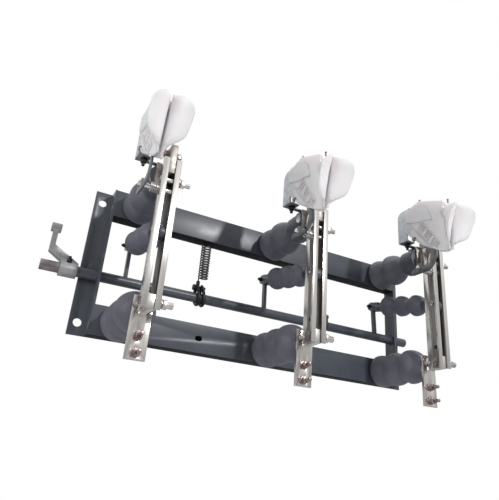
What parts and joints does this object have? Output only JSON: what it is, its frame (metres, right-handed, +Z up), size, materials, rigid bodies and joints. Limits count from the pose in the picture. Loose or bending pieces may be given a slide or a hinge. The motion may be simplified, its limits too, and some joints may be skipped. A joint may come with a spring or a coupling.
{
  "type": "three-pole load-break disconnect switch",
  "caption": "Wall-mounted indoor disconnect switch: angle frame, ribbed insulators, hinged double-bar blades, pull rods on a common shaft and fan-shaped arc chutes.",
  "frame": {"origin": "on the wall face, at the middle pole, in the middle of the lower beam's bottom wall", "axes": "+X along the poles to the right, +Y into the wall, +Z up"},
  "size_m": [0.771, 0.309, 0.381],
  "materials": {
    "frame_paint": "satin slate-grey paint",
    "cast_resin": "semi-matt cast resin",
    "tinned_copper": "tinned, lightly brushed",
    "galvanised_steel": "zinc plated",
    "dark_steel": "blackened steel",
    "cast_alloy": "as-cast light alloy",
    "chute_plastic": "translucent white moulding"
  },
  "bodies": {
    "frame": {"left_side_angle": "frame_paint", "right_side_angle": "frame_paint", "upper_beam": "frame_paint", "lower_beam": "frame_paint", "lower_insulator_left": "cast_resin", "lower_insulator_middle": "cast_resin", "lower_insulator_right": "cast_resin", "upper_insulator_left": "cast_resin", "upper_insulator_middle": "cast_resin", "upper_insulator_right": "cast_resin", "lower_terminal_left": "tinned_copper", "lower_terminal_middle": "tinned_copper", "lower_terminal_right": "tinned_copper", "upper_contact_left": "tinned_copper", "upper_contact_middle": "tinned_copper", "upper_contact_right": "tinned_copper", "chute_strap_left": "galvanised_steel", "chute_strap_middle": "galvanised_steel", "chute_strap_right": "galvanised_steel", "arc_chute_left": "chute_plastic", "arc_chute_middle": "chute_plastic", "arc_chute_right": "chute_plastic", "return_spring_left": "galvanised_steel", "return_spring_right": "galvanised_steel"},
    "shaft": {"main_shaft": "dark_steel", "drive_lever": "cast_alloy", "spring_clamp_left": "dark_steel", "spring_clamp_right": "dark_steel", "crank_left": "frame_paint", "crank_middle": "frame_paint", "crank_right": "frame_paint"},
    "rod_left": {"pull_rod_left": "cast_resin"},
    "blade_left": {"main_blade_left": "tinned_copper", "arcing_lever_left": "dark_steel", "torsion_spring_left": "galvanised_steel"},
    "rod_middle": {"pull_rod_middle": "cast_resin"},
    "blade_middle": {"main_blade_middle": "tinned_copper", "arcing_lever_middle": "dark_steel", "torsion_spring_middle": "galvanised_steel"},
    "rod_right": {"pull_rod_right": "cast_resin"},
    "blade_right": {"main_blade_right": "tinned_copper", "arcing_lever_right": "dark_steel", "torsion_spring_right": "galvanised_steel"}
  },
  "joints": [
    {"name": "shaft_turn", "type": "hinge", "parent": "frame", "child": "shaft", "pos_m": [0, -0.015, 0.099], "axis": [1, 0, 0], "range_deg": [0, 75], "deforming": ["return_spring_left", "return_spring_right"]},
    {"name": "blade_left_hinge", "type": "hinge", "parent": "frame", "child": "blade_left", "pos_m": [-0.275, -0.194, 0.023], "axis": [1, 0, 0], "range_deg": [0, 42.05]},
    {"name": "blade_middle_hinge", "type": "hinge", "parent": "frame", "child": "blade_middle", "pos_m": [0, -0.194, 0.023], "axis": [1, 0, 0], "range_deg": [0, 42.05]},
    {"name": "blade_right_hinge", "type": "hinge", "parent": "frame", "child": "blade_right", "pos_m": [0.275, -0.194, 0.023], "axis": [1, 0, 0], "range_deg": [0, 42.05]},
    {"name": "rod_left_pivot", "type": "hinge", "parent": "shaft", "child": "rod_left", "pos_m": [-0.275, -0.01102, 0.166], "axis": [1, 0, 0], "range_deg": [-81.15, 0]},
    {"name": "rod_middle_pivot", "type": "hinge", "parent": "shaft", "child": "rod_middle", "pos_m": [0, -0.01102, 0.166], "axis": [1, 0, 0], "range_deg": [-81.15, 0]},
    {"name": "rod_right_pivot", "type": "hinge", "parent": "shaft", "child": "rod_right", "pos_m": [0.275, -0.01102, 0.166], "axis": [1, 0, 0], "range_deg": [-81.15, 0]}
  ],
  "couplings": [
    {"joint": "blade_left_hinge", "follows": "shaft_turn", "ratio": 0.5606},
    {"joint": "blade_middle_hinge", "follows": "shaft_turn", "ratio": 0.5606},
    {"joint": "blade_right_hinge", "follows": "shaft_turn", "ratio": 0.5606},
    {"joint": "rod_left_pivot", "follows": "shaft_turn", "ratio": -1.082},
    {"joint": "rod_middle_pivot", "follows": "shaft_turn", "ratio": -1.082},
    {"joint": "rod_right_pivot", "follows": "shaft_turn", "ratio": -1.082}
  ]
}
